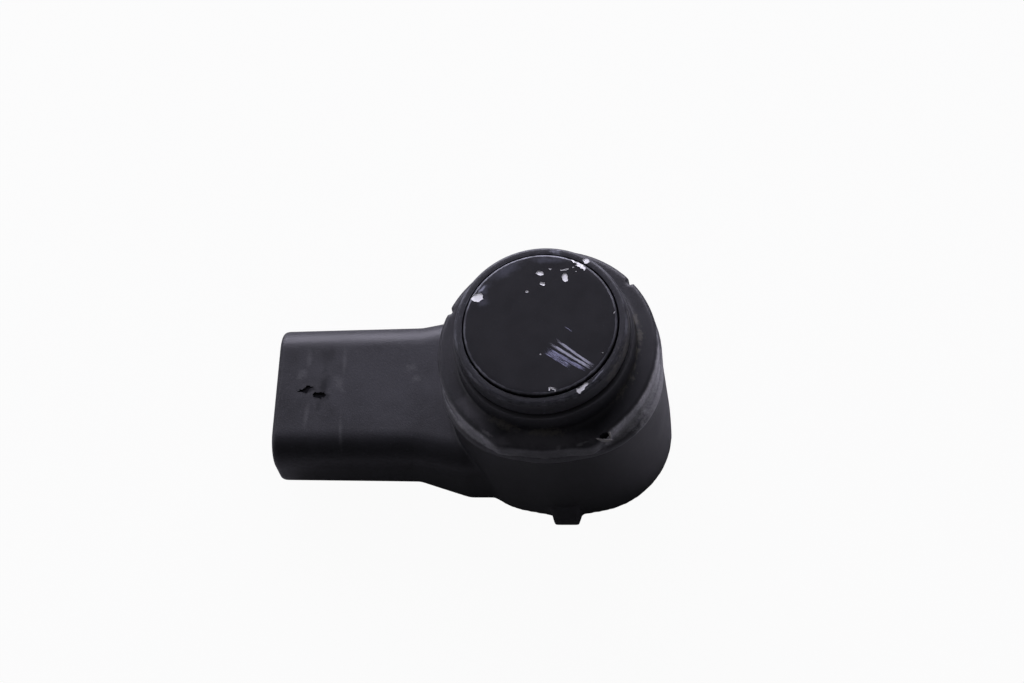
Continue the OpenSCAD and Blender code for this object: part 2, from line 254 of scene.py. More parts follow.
wear_and_light_patch, given, put = open_group(
    "wear_and_light_patch",
    [("Place", VECTOR, None), ("Centre", VECTOR, None), ("Reach", VECTOR, None), ("Turn", FLOAT, 0.0),
     ("Softness", FLOAT, 0.6), ("Ragged", FLOAT, 0.5), ("Ragged per metre", FLOAT, 1500.0)],
    [("Mask", FLOAT)])
far = wire(wear_and_light_patch, "ShaderNodeVectorMath", {0: local_place(wear_and_light_patch, given)}, operation="LENGTH")
inside = reckon(wear_and_light_patch, "SUBTRACT", 1.0, far.outputs["Value"])
inside = reckon(wear_and_light_patch, "ADD", inside, frayed(wear_and_light_patch, given, 3.0, 0.65))
wear_and_light_patch.links.new(between(wear_and_light_patch, inside, 0.0, given["Softness"], "SMOOTHSTEP"), put["Mask"])


# A patch's row holds centre and reach in mm, turn in degrees, softness, raggedness, rags per metre and strength.
def patch(tree, place, centre, reach, turn, soft, ragged, per_metre, strength=1.0):
    inputs = {"Place": place, "Centre": [c * mm for c in centre], "Reach": [r * mm for r in reach],
              "Turn": math.radians(turn), "Softness": soft, "Ragged": ragged, "Ragged per metre": per_metre}
    mask = wire(tree, "ShaderNodeGroup", inputs, node_tree=wear_and_light_patch).outputs["Mask"]
    return mask if strength == 1.0 else times(tree, mask, strength)


def largest(tree, masks):
    total = masks[0]
    for mask in masks[1:]:
        total = reckon(tree, "MAXIMUM", total, mask)
    return total


def patches(tree, place, *rows):
    return largest(tree, [patch(tree, place, *row) for row in rows])


def colour_of(tone):
    return tone if isinstance(tone, bpy.types.NodeSocket) else (*tone, 1)


def over(tree, below, colour, mask, strength=1.0):
    share = mask if strength == 1.0 else times(tree, mask, strength)
    inputs = {0: share, 6: colour_of(below), 7: colour_of(colour)}
    return wire(tree, "ShaderNodeMix", inputs, data_type="RGBA", blend_type="MIX").outputs[2]


def bent(tree, low, high, mask):
    return wire(tree, "ShaderNodeMapRange", {"Value": mask, "To Min": low, "To Max": high}).outputs["Result"]


# Shader group: a line that follows a circle about the sensing axis, for rub wear and for painted sheen and
# highlight.
rim_line_of_wear_and_sheen, given, put = open_group(
    "rim_line_of_wear_and_sheen",
    [("Place", VECTOR, None), ("Radius", FLOAT, 0.0075), ("Width", FLOAT, 0.0002), ("Ragged", FLOAT, 0.5),
     ("Ragged per metre", FLOAT, 1500.0), ("Gaps", FLOAT, 0.4)],
    [("Mask", FLOAT)])
plan = wire(rim_line_of_wear_and_sheen, "ShaderNodeVectorMath", {0: given["Place"], 1: (1, 1, 0)}, operation="MULTIPLY")
radius = wire(rim_line_of_wear_and_sheen, "ShaderNodeVectorMath", {0: plan.outputs[0]}, operation="LENGTH").outputs["Value"]
off = reckon(rim_line_of_wear_and_sheen, "ABSOLUTE", reckon(rim_line_of_wear_and_sheen, "SUBTRACT", radius, given["Radius"]))
near = reckon(rim_line_of_wear_and_sheen, "SUBTRACT", 1.0, reckon(rim_line_of_wear_and_sheen, "DIVIDE", off, given["Width"]))
near = reckon(rim_line_of_wear_and_sheen, "ADD", near, frayed(rim_line_of_wear_and_sheen, given, 4.0, 0.5))
near = between(rim_line_of_wear_and_sheen, near, 0.0, 0.7, "SMOOTHSTEP")
coming = between(rim_line_of_wear_and_sheen, cloud(rim_line_of_wear_and_sheen, given["Place"], 330.0, 2.0), given["Gaps"], 0.75)
rim_line_of_wear_and_sheen.links.new(times(rim_line_of_wear_and_sheen, near, coming), put["Mask"])
UNBROKEN = -1.0


def wear_and_sheen_rim_line(tree, place, radius, width, ragged, per_metre, gaps):
    inputs = {"Place": place, "Radius": radius * mm, "Width": width * mm, "Ragged": ragged,
              "Ragged per metre": per_metre, "Gaps": gaps}
    return wire(tree, "ShaderNodeGroup", inputs, node_tree=rim_line_of_wear_and_sheen).outputs["Mask"]


def grained_finish(name, grain_per_metre, mottle_per_metre):
    finish, tree, shader = finish_tree(name)
    spot = wire(tree, "ShaderNodeTexCoord").outputs["Object"]
    inputs = {"Place": spot, "Grain per metre": grain_per_metre, "Mottle per metre": mottle_per_metre}
    return finish, tree, shader, spot, wire(tree, "ShaderNodeGroup", inputs, node_tree=mould_grain).outputs


def raise_up(tree, shader, height, strength, distance):
    bump = wire(tree, "ShaderNodeBump", {"Height": height, "Strength": strength, "Distance": distance * mm})
    tree.links.new(bump.outputs[0], shader.inputs["Normal"])


# Black plastic, from the bare skin up: haze, smears and stains on the inlet, then a pale band on the flange, partly
# rub wear and partly painted sheen, the dust and scuffs on its shoulder, the grime round the head, and painted shade
# in the hollows and under the collar.
inlet_z = -9.4
black_plastic, tree, shader, spot, grain = grained_finish("black_plastic", 5200.0, 300.0)
tone = over(tree, (0.006, 0.006, 0.0075), (0.0245, 0.0245, 0.029), grain["Mottle"])
tone = over(tree, tone, (0.055, 0.055, 0.062), grain["Specks"], 0.42)
film = patches(
    tree, spot,
    ((-19, 1, inlet_z), (13, 7, 1.6), 0, 0.8, 0.45, 450.0),
    ((-12, 5, inlet_z), (7, 4, 1.6), 0, 0.8, 0.25, 350.0))
tone = over(tree, tone, (0.034, 0.034, 0.040), film, 0.60)
smears = patches(
    tree, spot,
    ((-15.6, 2.3, inlet_z), (0.7, 0.9, 2), -60, 0.9, 0.6, 1800.0),
    ((-15.0, 1.0, inlet_z), (0.5, 0.7, 2), -70, 0.9, 0.6, 1800.0),
    ((-26.4, -3.1, inlet_z), (0.40, 1.9, 2), -4, 1.0, 0.30, 1300.0),
    ((-26.6, 3.5, inlet_z), (0.50, 1.5, 2), 0, 1.0, 0.30, 1300.0),
    ((-22.8, 3.1, inlet_z), (0.38, 2.0, 2), 2, 1.0, 0.30, 1300.0),
    ((-22.6, -5.0, inlet_z), (0.30, 2.8, 3), 4, 1.0, 0.25, 1300.0),
    ((-23.2, 0.6, inlet_z), (0.7, 1.5, 2), 25, 0.9, 0.6, 1500.0),
    ((-27.3, 1.6, inlet_z), (0.8, 1.0, 2), 0, 0.9, 0.6, 1500.0))
tone = over(tree, tone, (0.085, 0.085, 0.088), smears, 0.42)
stain = patches(
    tree, spot,
    ((-24.7, 3.7, inlet_z), (2.2, 1.8, 2), 0, 0.9, 0.5, 900.0, 0.5),
    ((-24.9, -0.2, inlet_z), (1.1, 3.2, 2), -4, 0.9, 0.6, 900.0, 0.7),
    ((-26.4, 0.0, inlet_z), (1.5, 0.8, 2), 10, 1.0, 0.5, 1200.0),
    ((-25.1, -0.7, inlet_z), (1.2, 0.9, 2), -10, 1.0, 0.5, 1200.0))
tone = over(tree, tone, (0.004, 0.004, 0.005), stain, 0.75)
# Pale band round the flange wall and the collar below it: partly rub wear, partly painted sheen for the light these
# walls catch, so it is strongest on the right, weaker at the left front and faint at the front.
rim_wall = times(
    tree, wear_and_sheen_rim_line(tree, spot, 11.60, 0.70, 0.10, 1500.0, UNBROKEN),
    patch(tree, spot, (0, 0, -1.10), (40, 40, 1.10), 0, 0.22, 0.05, 900.0))
right_side = patch(tree, spot, (11.0, -3.6, -1.1), (5.0, 6.8, 9.0), 17, 0.65, 0.28, 1300.0)
sheen_and_rub_sides = largest(tree, [right_side] + [patch(tree, spot, *row) for row in (
    ((8.6, -7.6, -1.1), (2.6, 4.2, 4.0), -45, 0.7, 0.25, 900.0, 0.62),
    ((-8.2, -7.8, -1.1), (4.0, 8.5, 4.0), 43, 0.9, 0.35, 700.0, 0.52),
    ((0.0, -11.2, -1.1), (9.0, 3.0, 4.0), 0, 0.5, 0.25, 900.0, 0.135))])
flange_sheen_and_wear = times(tree, rim_wall, sheen_and_rub_sides)
collar_sheen_and_wear = times(
    tree, wear_and_sheen_rim_line(tree, spot, 11.70, 1.10, 0.10, 1500.0, UNBROKEN),
    patch(tree, spot, (2, -6, -2.40), (60, 60, 0.50), 0, 0.4, 0.10, 900.0))
right_collar = times(tree, collar_sheen_and_wear, right_side)
right_body = patch(tree, spot, (11.7, -2.6, -3.4), (3.0, 5.5, 2.0), 12, 1.4, 1.0, 1700.0, 0.16)
sheen_and_rub = largest(tree, [flange_sheen_and_wear, times(tree, collar_sheen_and_wear, 0.07), times(tree, right_collar, 0.60), right_body])
sheen_and_rub_breakup = bent(tree, 0.35, 1.45, grain["Height"])
tone = over(tree, tone, (0.76, 0.76, 0.79), reckon(tree, "MULTIPLY", sheen_and_rub, sheen_and_rub_breakup, clamp=True))
shelf_dust = patches(
    tree, spot,
    ((0.0, -10.1, 0.0), (7.5, 1.5, 0.5), 0, 0.8, 0.35, 700.0),
    ((-6.9, -6.9, 0.0), (3.5, 1.4, 0.5), -45, 0.8, 0.35, 700.0))
tone = over(tree, tone, (0.085, 0.083, 0.090), shelf_dust, 0.75)
edge_mark = wire(tree, "ShaderNodeAttribute", attribute_name="edge").outputs["Fac"]
edge_rub = times(tree, edge_mark, bent(tree, 0.15, 1.0, grain["Mottle"]))
tone = over(tree, tone, (0.11, 0.11, 0.12), edge_rub, 0.30)
scuffs = patches(
    tree, spot,
    ((1.7, -10.9, 0), (0.45, 0.25, 0.5), 5, 0.8, 0.8, 2500.0),
    ((3.9, -10.5, 0), (0.9, 0.22, 0.5), 20, 0.8, 0.8, 2500.0),
    ((-5.6, -9.3, 0), (0.9, 0.25, 0.5), -32, 0.8, 0.8, 2500.0),
    ((6.6, -10.3, -0.8), (0.7, 0.6, 0.9), 35, 0.8, 0.7, 1800.0))
tone = over(tree, tone, (0.16, 0.16, 0.165), scuffs, 0.55)
grime = patches(
    tree, spot,
    ((8.85, 3.0, 0.2), (0.55, 1.0, 0.9), 16, 0.9, 1.1, 2200.0),
    ((9.35, 1.2, 0.2), (0.60, 1.3, 0.9), 4, 0.9, 1.1, 2200.0),
    ((8.95, -0.6, 0.2), (0.60, 1.2, 0.9), -4, 0.9, 1.1, 2200.0),
    ((8.30, -2.8, 0.2), (0.90, 1.7, 0.9), -18, 0.9, 1.1, 2200.0),
    ((7.40, -4.6, 0.2), (1.00, 1.6, 0.9), -33, 0.9, 1.1, 2200.0),
    ((-3.9, -8.3, 0.2), (2.0, 0.7, 0.8), -26, 0.9, 1.1, 2200.0),
    ((0.6, -9.3, 0.2), (2.4, 0.5, 0.8), 0, 0.9, 1.1, 2200.0))
tone = over(tree, tone, (0.120, 0.112, 0.090), grime, 0.60)
# Painted shade: hollows and a thin line under the collar's lower edge are painted darker and rougher where shadow
# falls; the line is left off the right side.
hollow_mark = wire(tree, "ShaderNodeAttribute", attribute_name="hollow").outputs["Fac"]
collar_shadow_line = patch(tree, spot, (2, -6, -3.08), (60, 60, 0.24), 0, 0.5, 0.10, 500.0)
painted_collar_shadow = reckon(tree, "SUBTRACT", collar_shadow_line, right_side, clamp=True)
painted_hollow_shade = largest(tree, [hollow_mark, times(tree, painted_collar_shadow, 0.9)])
tone = over(tree, tone, (0.0025, 0.0025, 0.003), painted_hollow_shade, 0.85)
tree.links.new(tone, shader.inputs["Base Color"])
dull = reckon(tree, "ADD", bent(tree, 0.40, 0.56, grain["Mottle"]), times(tree, stain, 0.60))
tree.links.new(largest(tree, [dull, times(tree, painted_hollow_shade, 0.98)]), shader.inputs["Roughness"])
shader.inputs["Specular IOR Level"].default_value = 0.40
raise_up(tree, shader, grain["Height"], 0.40, 0.04)


def plain_finish(name, dark, light, rough, grain_size, mottle_size, specular=0.4, lift=0.2, relief=0.03):
    finish, tree, shader, _, grain = grained_finish(name, grain_size, mottle_size)
    tree.links.new(over(tree, dark, light, grain["Mottle"]), shader.inputs["Base Color"])
    if isinstance(rough, tuple):
        tree.links.new(bent(tree, *rough, grain["Mottle"]), shader.inputs["Roughness"])
    else:
        shader.inputs["Roughness"].default_value = rough
    shader.inputs["Specular IOR Level"].default_value = specular
    raise_up(tree, shader, grain["Height"], lift, relief)
    return finish


# The faces cut by the knocks get this darker, duller plastic: painted shade inside the gouges and the flange bite.
shaded_torn_plastic = plain_finish(
    "shaded_torn_plastic", (0.004, 0.004, 0.005), (0.016, 0.016, 0.018), 0.9, 9000.0, 1500.0, 0.05, 0.6, 0.05)
housing = link_piece("housing_moulding", solid_copy("housing", "housing_moulding"), black_plastic, shaded_torn_plastic)
remesh = housing.modifiers.new("even_mesh", "REMESH")
remesh.mode = "VOXEL"
remesh.voxel_size = 0.18 * mm
ease = housing.modifiers.new("eased_edges", "SMOOTH")
ease.factor = 0.5
ease.iterations = 10
thin = housing.modifiers.new("fewer_faces", "DECIMATE")
thin.ratio = 0.52
applied(housing)


# Ragged outlines, in mm, and the tools that sink them to a depth below a surface.
# A surface gives its height and tilt at a distance from the sensing axis.
def outline(centre, length, width, turn, seed, points=26):
    cos_turn, sin_turn = math.cos(math.radians(turn)), math.sin(math.radians(turn))
    ring = []
    for i in range(points):
        a = 2 * math.pi * i / points
        jag = 1 + 0.30 * noise.noise(Vector((1.6 * math.cos(a), 1.6 * math.sin(a), seed * 3.7)))
        jag += 0.16 * noise.noise(Vector((5 * math.cos(a), 5 * math.sin(a), seed * 1.9 + 11)))
        u, v = jag * length / 2 * math.cos(a), jag * width / 2 * math.sin(a)
        ring.append((centre[0] + u * cos_turn - v * sin_turn, centre[1] + u * sin_turn + v * cos_turn))
    return ring


def ragged_sides(corners, jag, seed, steps=7):
    ring = []
    for one, two in zip(corners, corners[1:] + corners[:1]):
        for i in range(steps):
            along = Vector(one).lerp(Vector(two), i / steps)
            stray_x = noise.noise(Vector((along.x * 3.5, along.y * 3.5, seed)))
            stray_y = noise.noise(Vector((along.x * 3.5, along.y * 3.5, seed + 17.3)))
            ring.append((along.x + jag * stray_x, along.y + jag * stray_y))
    return ring


def level_at(z):
    return lambda r: (z, 0.0)


def sunk_cutter(shape, ring, surface, depth, rise=0.25, taper=0.0):
    tops, floors = [], []
    middle = sum((Vector((x, y, 0)) for x, y in ring), Vector()) / len(ring)
    for x, y in ring:
        z, tilt = surface(math.hypot(x, y))
        out = Vector((x, y, 0)).normalized()
        lean = Vector((out.x * math.sin(tilt), out.y * math.sin(tilt), math.cos(tilt)))
        inward = taper * (middle - Vector((x, y, 0)))
        tops.append(shape.verts.new((Vector((x, y, z)) + lean * rise - inward * rise / depth) * mm))
        floors.append(shape.verts.new((Vector((x, y, z)) - lean * depth + inward) * mm))
    made = [shape.faces.new(tops), shape.faces.new(floors[::-1])]
    for i in range(len(ring)):
        j = (i + 1) % len(ring)
        made.append(shape.faces.new((tops[i], floors[i], floors[j], tops[j])))
    for face in made:
        face.material_index = 1


def cut_away(piece, tool, solver="EXACT", tools_overlap=False):
    cut = piece.modifiers.new("cut", "BOOLEAN")
    cut.operation = "DIFFERENCE"
    cut.solver = solver
    cut.use_self = tools_overlap
    cut.object = tool
    applied(piece)
    bpy.data.objects.remove(tool)


def knock(piece, shape, solver="EXACT"):
    bmesh.ops.recalc_face_normals(shape, faces=shape.faces)
    bmesh.ops.triangulate(shape, faces=shape.faces)
    tool = link_piece("cutter", mesh_from(shape, "cutter"), *piece.data.materials)
    cut_away(piece, tool, solver, solver == "EXACT")


left_gouge = [(-27.60, -0.30), (-27.1, -0.42), (-26.5, -0.36), (-25.95, -0.10),
              (-25.85, 0.34), (-26.4, 0.36), (-27.0, 0.0)]
right_gouge = [(-25.85, -1.05), (-25.1, -1.24), (-24.55, -0.95),
               (-24.62, -0.36), (-25.3, -0.50), (-25.85, -0.30)]
flange_bite = outline((6.27, -9.62), 0.95, 0.74, turn=30, seed=3)
knocks = bmesh.new()
sunk_cutter(knocks, ragged_sides(left_gouge, 0.26, 1.3), level_at(inlet_z), depth=0.18, rise=0.05, taper=0.15)
sunk_cutter(knocks, ragged_sides(right_gouge, 0.26, 5.1), level_at(inlet_z), depth=0.20, rise=0.05, taper=0.20)
sunk_cutter(knocks, flange_bite, level_at(0.0), depth=0.70)
knock(housing, knocks, "MANIFOLD")


# How far each point stands proud of its neighbours or lies behind them, for the wear on edges and the painted shade
# in hollows.
def edge_marks(mesh, passes=4, gain=4):
    count = len(mesh.vertices)
    place = np.empty(count * 3, np.float32)
    mesh.vertices.foreach_get("co", place)
    place = place.reshape(-1, 3)
    normal = np.empty(count * 3, np.float32)
    mesh.vertex_normals.foreach_get("vector", normal)
    normal = normal.reshape(-1, 3)
    pair = np.empty(len(mesh.edges) * 2, np.int32)
    mesh.edges.foreach_get("vertices", pair)
    one, two = pair.reshape(-1, 2).T
    gap = place[two] - place[one]
    length = np.linalg.norm(gap, axis=1) + 1e-9
    rise_one = (gap * normal[one]).sum(1) / length
    rise_two = -(gap * normal[two]).sum(1) / length
    total = np.bincount(one, rise_one, count) + np.bincount(two, rise_two, count)
    share = np.maximum(np.bincount(one, minlength=count) + np.bincount(two, minlength=count), 1)
    bend = -total / share
    for _ in range(passes):
        mean = np.bincount(one, bend[two], count) + np.bincount(two, bend[one], count)
        bend = 0.5 * bend + 0.5 * mean / share
    for name, side in (("edge", 1), ("hollow", -1)):
        mark = np.clip(side * bend * gain, 0, 1).astype(np.float32)
        mesh.attributes.new(name, "FLOAT", "POINT").data.foreach_set("value", mark)


edge_marks(housing.data)
crisp(housing.data, 48)
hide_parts("housing")
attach(housing, "root")

# Burr: the torn lips that a knock raised round the bite in the flange's edge.
# They are thin slivers of the same plastic, still held at their feet and pale where they broke, a paleness that also
# stands in as painted highlight along the lips.
pale_break_and_highlight = plain_finish(
    "pale_break_and_highlight", (0.12, 0.118, 0.112), (0.46, 0.45, 0.43), 0.65, 7000.0, 1800.0, 0.5, 0.5, 0.04)


def sliver(shape, path, width, height, seed, steps=16, sides=8):
    rings = []
    for i in range(steps + 1):
        t = i / steps * (len(path) - 1)
        k = min(int(t), len(path) - 2)
        middle = Vector(path[k]).lerp(Vector(path[k + 1]), t - k)
        run = (Vector(path[k + 1]) - Vector(path[k])).normalized()
        side = Vector((-run.y, run.x, 0)).normalized()
        taper = max(0.06, math.sin(math.pi * i / steps)) ** 0.6
        taper *= 1 + 0.5 * noise.noise(Vector((i * 0.55, seed, 2.3)))
        lean = 0.25 * noise.noise(Vector((i * 0.3, seed, 8.1)))
        loop = []
        for n in range(sides):
            a = 2 * math.pi * n / sides
            u, v = width / 2 * taper * math.cos(a), height / 2 * taper * math.sin(a)
            loop.append(shape.verts.new((middle + side * (u + lean * v) + Vector((0, 0, v))) * mm))
        rings.append(loop)
    for one, two in zip(rings, rings[1:]):
        for n in range(sides):
            shape.faces.new((one[n], two[n], two[(n + 1) % sides], one[(n + 1) % sides]))
    shape.faces.new(rings[0][::-1])
    shape.faces.new(rings[-1])


right_lip = [(6.66, -9.20, -0.02), (6.84, -9.55, 0.06), (6.80, -10.02, -0.08)]
front_lip = [(5.40, -9.90, -0.04), (5.95, -10.12, 0.02), (6.60, -10.16, 0.0), (7.05, -10.04, -0.10)]
lips = bmesh.new()
sliver(lips, right_lip, 0.26, 0.50, seed=1.7)
sliver(lips, front_lip, 0.28, 0.42, seed=4.4)
bmesh.ops.recalc_face_normals(lips, faces=lips.faces)
burr = link_piece("flange_burr", mesh_from(lips, "flange_burr"), pale_break_and_highlight)
shade_round(burr.data)
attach(burr, "root")

# Membrane cup: a deep-drawn aluminium cup whose closed end is the sensing face.
# It was primed white and painted satin black, and stone chips show the primer.
face_r, face_edge, paint_t = 7.75, 0.28, 0.07
cup_in, cup_skin, cup_lip_h = 6.80, 0.70, 0.60
cup_lip, cup_foot = cup_high[0], cup_low[2]
cup_step = cup_foot + cup_lip_h
face_rings = (7.0, 6.0, 4.5, 3.0, 1.5, 0)


def rounded_rim(radius, top, edge, steepest=0.92):
    def surface(r):
        over_edge = max(0.0, min(r - (radius - edge), edge * steepest))
        return top - edge + math.sqrt(edge ** 2 - over_edge ** 2), math.asin(over_edge / edge)
    return surface


def corner(r, z, size, start, stop, steps=8):
    angles = [math.radians(start + (stop - start) * i / steps) for i in range(steps + 1)]
    return [(r + size * math.cos(a), z + size * math.sin(a)) for a in angles]


def turned_mesh(name, profile, about=(0, 0), steps=224):
    shape = bmesh.new()
    rows = []
    for i in range(steps):
        a = 2 * math.pi * i / steps
        rows.append([shape.verts.new(((about[0] + r * math.cos(a)) * mm, (about[1] + r * math.sin(a)) * mm, z * mm))
                     for r, z in profile])
    for i in range(steps):
        one, two = rows[i], rows[(i + 1) % steps]
        for k in range(len(profile)):
            n = (k + 1) % len(profile)
            shape.faces.new((one[k], two[k], two[n], one[n]))
    bmesh.ops.remove_doubles(shape, verts=shape.verts, dist=0.0005 * mm)
    bmesh.ops.delete(shape, geom=[e for e in shape.edges if not e.link_faces], context="EDGES")
    bmesh.ops.recalc_face_normals(shape, faces=shape.faces)
    return mesh_from(shape, name)


# Shader group: a bundle of fine parallel streaks that a rub left in the paint.
scratch_streaks, given, put = open_group(
    "scratch_streaks",
    [("Place", VECTOR, None), ("Centre", VECTOR, None), ("Reach", VECTOR, None), ("Turn", FLOAT, 0.0),
     ("Streaks", FLOAT, 2.0), ("Fill", FLOAT, 0.5)],
    [("Mask", FLOAT)])
split = wire(scratch_streaks, "ShaderNodeSeparateXYZ", {0: local_place(scratch_streaks, given)}).outputs
along = times(scratch_streaks, split["X"], 1.6)
across = times(scratch_streaks, split["Y"], given["Streaks"])
lane = wire(scratch_streaks, "ShaderNodeCombineXYZ", {0: along, 1: across, 2: given["Turn"]})
fibre = cloud(scratch_streaks, lane.outputs[0], 1.6, 4.0, 0.7)
far = largest(scratch_streaks, [reckon(scratch_streaks, "ABSOLUTE", split[axis]) for axis in ("X", "Y")])
fade = times(scratch_streaks, reckon(scratch_streaks, "SUBTRACT", 1.15, far), 0.8)
fade = reckon(scratch_streaks, "MINIMUM", fade, 0.42)
scored = reckon(scratch_streaks, "ADD", reckon(scratch_streaks, "ADD", fibre, fade), given["Fill"])
scratch_streaks.links.new(between(scratch_streaks, scored, 1.28, 1.48), put["Mask"])


def streaks(tree, place, start, stop, width, lines, fill):
    run = Vector(stop) - Vector(start)
    inputs = {"Place": place, "Streaks": lines, "Fill": fill, "Turn": math.atan2(run.y, run.x),
              "Centre": ((start[0] + stop[0]) / 2 * mm, (start[1] + stop[1]) / 2 * mm, face_top * mm),
              "Reach": (run.length / 2 * mm, width / 2 * mm, 1)}
    return wire(tree, "ShaderNodeGroup", inputs, node_tree=scratch_streaks).outputs["Mask"]


face_paint, tree, shader, spot, grain = grained_finish("face_paint", 7000.0, 420.0)
tone = over(tree, (0.007, 0.007, 0.0085), (0.0125, 0.0125, 0.015), grain["Mottle"])
tone = over(tree, tone, (0.05, 0.05, 0.06), grain["Specks"], 0.22)
haze = patches(
    tree, spot,
    ((-3.7, 6.0, face_top), (2.7, 0.9, 1), 31, 1.0, 0.4, 1200.0),
    ((-5.9, 3.9, face_top), (1.5, 0.7, 1), 55, 1.0, 0.5, 1200.0),
    ((0.2, 7.1, face_top), (2.8, 0.55, 1), 0, 1.0, 0.5, 1200.0),
    ((-5.9, 2.5, face_top), (0.9, 0.8, 1), 20, 1.0, 0.5, 1200.0))
tone = over(tree, tone, (0.075, 0.078, 0.100), haze, 0.60)
scrapes = largest(tree, [
    streaks(tree, spot, (0.6, -2.55), (5.0, -5.25), 0.44, 2.6, 0.48),
    streaks(tree, spot, (0.4, -2.85), (3.5, -4.90), 0.62, 4.0, 0.44),
    streaks(tree, spot, (2.4, -0.25), (3.35, -0.95), 0.10, 1.0, 0.44)])
tone = over(tree, tone, (0.36, 0.37, 0.53), scrapes, 0.92)
deep_scrapes = largest(tree, [
    streaks(tree, spot, (1.6, -1.70), (5.75, -4.80), 0.32, 1.7, 0.52),
    streaks(tree, spot, (1.0, -2.10), (5.45, -5.00), 0.34, 1.9, 0.53)])
tone = over(tree, tone, (0.52, 0.53, 0.62), deep_scrapes, 0.92)
smear = patch(tree, spot, (-6.05, 3.9, face_top), (0.65, 0.20, 1), 48, 0.8, 0.7, 2600.0)
tone = over(tree, tone, (0.36, 0.37, 0.44), smear, 0.75)
worn_arc = patches(
    tree, spot,
    ((0, 7.4, face_top), (5.4, 1.9, 2), 0, 0.5, 0.2, 500.0),
    ((-6.2, 4.6, face_top), (2.6, 1.4, 2), 50, 0.6, 0.2, 500.0),
    ((5.9, 4.6, face_top), (3.3, 1.4, 2), -52, 0.6, 0.2, 500.0))
rim = wear_and_sheen_rim_line(tree, spot, face_r - 0.15, 0.13, 0.4, 2200.0, 0.22)
tone = over(tree, tone, (0.42, 0.43, 0.48), times(tree, rim, bent(tree, 0.50, 1.0, worn_arc)), 0.90)
tree.links.new(tone, shader.inputs["Base Color"])
tree.links.new(bent(tree, 0.36, 0.50, grain["Mottle"]), shader.inputs["Roughness"])
shader.inputs["Specular IOR Level"].default_value = 0.26
raise_up(tree, shader, grain["Height"], 0.16, 0.03)
white_primer = plain_finish(
    "white_primer", (0.86, 0.865, 0.87), (0.98, 0.98, 0.965), 0.75, 5000.0, 1600.0, 0.5, 0.3)

cup_profile = (
    [(cup_in, face_top - cup_skin), (cup_in, cup_foot), (cup_lip, cup_foot), (cup_lip, cup_step), (face_r, cup_step)]
    + corner(face_r - face_edge, face_top - face_edge, face_edge, 0, 90)
    + [(r, face_top) for r in face_rings] + [(0, face_top - cup_skin)])
cup = link_piece("sensing_face", turned_mesh("sensing_face", cup_profile), face_paint, white_primer)
face_surface = rounded_rim(face_r, face_top, face_edge)
chips = bmesh.new()
for number, (place, length, width, turn) in enumerate((
        ((-6.50, 2.98), 1.30, 0.95, 18),
        ((-0.30, 5.62), 0.86, 0.46, -14),
        ((0.70, 6.06), 0.20, 0.17, 0),
        ((2.22, 6.00), 0.86, 0.19, 13),
        ((2.27, 5.14), 1.00, 0.60, -74),
        ((0.03, 4.43), 0.60, 0.36, -20),
        ((-1.49, 3.59), 0.34, 0.25, -10),
        ((3.02, 6.22), 0.20, 0.14, 20),
        ((3.31, 5.79), 0.18, 0.13, 0),
        ((7.35, 1.17), 0.24, 0.12, 70),
        ((0.23, -3.34), 0.17, 0.14, 0),
        ((6.42, -3.22), 0.14, 0.12, 0),
        ((1.62, -7.06), 0.66, 0.16, -18),
        ((1.30, -7.12), 0.16, 0.46, 8),
        ((1.90, -7.24), 0.13, 0.30, -8))):
    sunk_cutter(chips, outline(place, length, width, turn, number + 0.37), face_surface, paint_t)
rim_chip = [(2.55, 7.24), (3.04, 7.10), (3.48, 6.90), (4.00, 6.68), (4.30, 6.36), (4.24, 5.88),
            (3.92, 6.05), (3.72, 6.24), (3.35, 6.32), (3.24, 6.50), (3.37, 6.66), (2.96, 6.98)]
sunk_cutter(chips, ragged_sides(rim_chip, 0.16, 3.1, steps=4), face_surface, paint_t)
knock(cup, chips)
crisp(cup.data)
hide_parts("membrane_cup")
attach(cup, "root")


# Piezo disc: a thin disc of fired ceramic, silvered on both sides and poled.
# It is bonded behind the sensing face, rings it like a bell and then hears the echo.
def dress(node, finish):
    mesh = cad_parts[node].data
    mesh.materials.clear()
    mesh.materials.append(finish)


dress("piezo_disc", plain_finish(
    "piezo_ceramic", (0.62, 0.56, 0.43), (0.76, 0.70, 0.57), (0.30, 0.45), 8000.0, 900.0))

# Damping foam: white silicone foam, full of fine cells, that stills the cup after each pulse.
# It was cast into the cup over the ceramic, with the two leads already in place.
dress("damping_foam", plain_finish(
    "foam", (0.58, 0.58, 0.55), (0.84, 0.84, 0.80), (0.80, 0.95), 3500.0, 2200.0, 0.2, 0.9))

# Leads: thin stranded wires in plastic insulation, red for the signal and black for ground.
# They are soldered to the ceramic and run through the foam into holes in the board.
dress("lead_signal", plain_finish(
    "lead_red", (0.38, 0.030, 0.020), (0.52, 0.060, 0.035), (0.30, 0.45), 6000.0, 800.0))
dress("lead_ground", plain_finish(
    "lead_black", (0.014, 0.014, 0.014), (0.030, 0.030, 0.030), (0.30, 0.45), 6000.0, 800.0))

# Decoupling ring: black silicone that carries the cup and keeps its ringing out of the housing.
# Paint from the face ran over it and has flaked, and its pale top edges are partly wear from hands and stones and
# partly painted highlight.
seat_gap = 0.02
ring_low, ring_high = box_mm("decoupling_ring")
ring_r, ring_top, sleeve_foot = ring_high[0], ring_high[2], ring_low[2]
head_top = box_mm("housing")[1][2] + seat_gap
sleeve_in, sleeve_r, ring_edge, ring_foot_edge = face_r + seat_gap, 8.37, 0.40, 0.15
slit_w, slit_edge, slit_depth, flake_t = 0.12, 0.05, 0.45, 0.06

silicone, tree, shader, spot, grain = grained_finish("silicone", 4200.0, 1100.0)
tone = over(tree, (0.007, 0.007, 0.0085), (0.030, 0.031, 0.038), grain["Mottle"])
tone = over(tree, tone, (0.10, 0.103, 0.125), grain["Specks"], 0.45)
